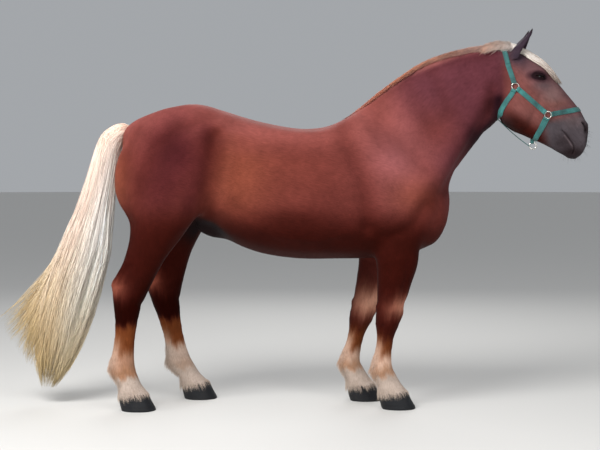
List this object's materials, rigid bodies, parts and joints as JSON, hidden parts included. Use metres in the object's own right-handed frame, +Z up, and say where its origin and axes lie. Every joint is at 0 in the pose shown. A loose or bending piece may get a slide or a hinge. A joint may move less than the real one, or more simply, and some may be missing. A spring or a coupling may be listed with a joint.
{
  "type": "horse",
  "caption": "Heavy chestnut horse of cold-blood type, standing still with flaxen mane and tail, white-tan lower legs and a webbing halter.",
  "frame": {"origin": "on the ground under the middle of the whole model, hoof soles at Z = 0", "axes": "+X towards the head, +Y towards the horse's left side, +Z up"},
  "size_m": [3.094, 0.6806, 1.975],
  "materials": {
    "coat": "short glossy red chestnut hair, paler to cream on the lower legs",
    "flaxen_hair": "long coarse flaxen hair",
    "hoof_horn": "dark worn horn, dusty",
    "eye": "wet dark brown",
    "halter_webbing": "flat woven nylon webbing, green, faded",
    "ring_steel": "plated steel wire, scratched"
  },
  "bodies": {
    "root": {"ear_left": "coat", "ear_right": "coat", "eye_left": "eye", "eye_right": "eye", "foreleg_left": "coat", "foreleg_right": "coat", "forelock": "flaxen_hair", "halter_cheek_left": "halter_webbing", "halter_cheek_right": "halter_webbing", "halter_cheek_ring_left": "ring_steel", "halter_cheek_ring_right": "ring_steel", "halter_chin": "halter_webbing", "halter_chin_ring": "ring_steel", "halter_crown": "halter_webbing", "halter_jaw": "halter_webbing", "halter_noseband": "halter_webbing", "halter_side_ring_left": "ring_steel", "halter_side_ring_right": "ring_steel", "halter_throat": "halter_webbing", "head": "coat", "hindleg_left": "coat", "hindleg_right": "coat", "hoof_fore_left": "hoof_horn", "hoof_fore_right": "hoof_horn", "hoof_hind_left": "hoof_horn", "hoof_hind_right": "hoof_horn", "mane": "flaxen_hair", "neck": "coat", "tail": "flaxen_hair", "trunk": "coat"}
  },
  "joints": []
}
